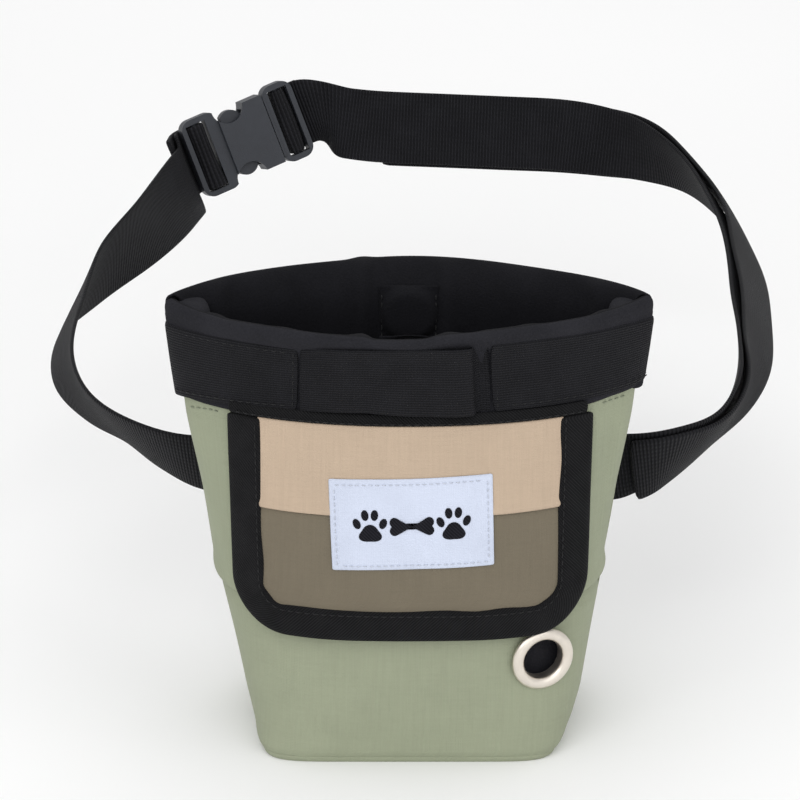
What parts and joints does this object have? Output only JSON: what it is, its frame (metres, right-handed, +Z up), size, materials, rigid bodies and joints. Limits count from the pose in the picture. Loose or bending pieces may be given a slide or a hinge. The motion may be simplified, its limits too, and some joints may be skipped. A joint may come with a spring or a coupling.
{
  "type": "dog treat pouch with waist belt",
  "caption": "Waist-worn treat pouch with open mouth, front flap, waste bag pocket with eyelet, and a webbing belt with side-release buckle.",
  "frame": {"origin": "centre of the flat rear face of the belt tunnel, which lies against the wearer", "axes": "+X to the right seen from the front, +Y from the pouch towards the wearer, +Z up"},
  "size_m": [0.2433, 0.3114, 0.146],
  "materials": {
    "green_nylon": "matte ripstop",
    "liner": "matte coated",
    "black_fabric": "matte",
    "black_webbing": "ribbed webbing",
    "binding_tape": "twill tape",
    "beige_nylon": "matte",
    "olive_nylon": "matte",
    "woven_label": "woven satin",
    "eyelet_metal": "polished nickel",
    "magnet": "plated",
    "hook_and_loop": "matte pile",
    "buckle_plastic": "satin moulded"
  },
  "bodies": {
    "pouch": {"front_panel": "green_nylon", "back_panel": "green_nylon", "base_panel": "green_nylon", "inner_liner": "liner", "collar_front": "black_fabric", "collar_back": "black_fabric", "band_left": "black_webbing", "band_right": "black_webbing", "band_back": "black_webbing", "accessory_loop": "black_webbing", "pocket_panel": "green_nylon", "pocket_liner": "liner", "eyelet": "eyelet_metal", "eyelet_washer": "eyelet_metal", "loop_patch": "hook_and_loop", "magnet_front": "magnet", "magnet_back": "magnet", "magnet_cover_front": "black_fabric", "magnet_cover_back": "black_fabric", "belt_tunnel": "black_webbing", "belt_left": "black_webbing", "buckle_socket": "buckle_plastic", "socket_wrap": "black_webbing"},
    "flap": {"flap_top_panel": "beige_nylon", "flap_lower_panel": "olive_nylon", "flap_lining": "black_fabric", "flap_binding": "binding_tape", "label": "woven_label", "hook_patch": "hook_and_loop"},
    "belt_half": {"belt_right": "black_webbing", "belt_tail": "black_webbing", "buckle_plug": "buckle_plastic", "plug_wrap": "black_webbing"},
    "prong_top": {"prong_upper": "buckle_plastic"},
    "prong_bottom": {"prong_lower": "buckle_plastic"}
  },
  "joints": [
    {"name": "flap_hinge", "type": "hinge", "parent": "pouch", "child": "flap", "pos_m": [0, -0.06454, 0.0404], "axis": [-1, 0, 0], "range_deg": [0, 100]},
    {"name": "belt_swing", "type": "hinge", "parent": "pouch", "child": "belt_half", "pos_m": [0.06, -0.008, 0], "axis": [0.1771, 0.1866, -0.9663], "range_deg": [0, 40], "deforming": ["prong_upper", "prong_lower"]},
    {"name": "prong_upper_squeeze", "type": "hinge", "parent": "belt_half", "child": "prong_top", "pos_m": [-0.05122, 0.22279, 0.03148], "axis": [0.3376, -0.8809, 0.3319], "range_deg": [0, 8], "stiffness_Nm_per_rad": 0.05},
    {"name": "prong_lower_squeeze", "type": "hinge", "parent": "belt_half", "child": "prong_bottom", "pos_m": [-0.04569, 0.21955, 0.01726], "axis": [-0.3376, 0.8809, -0.3319], "range_deg": [0, 8], "stiffness_Nm_per_rad": 0.05}
  ],
  "couplings": [
    {"joint": "prong_lower_squeeze", "follows": "prong_upper_squeeze", "ratio": 1}
  ]
}
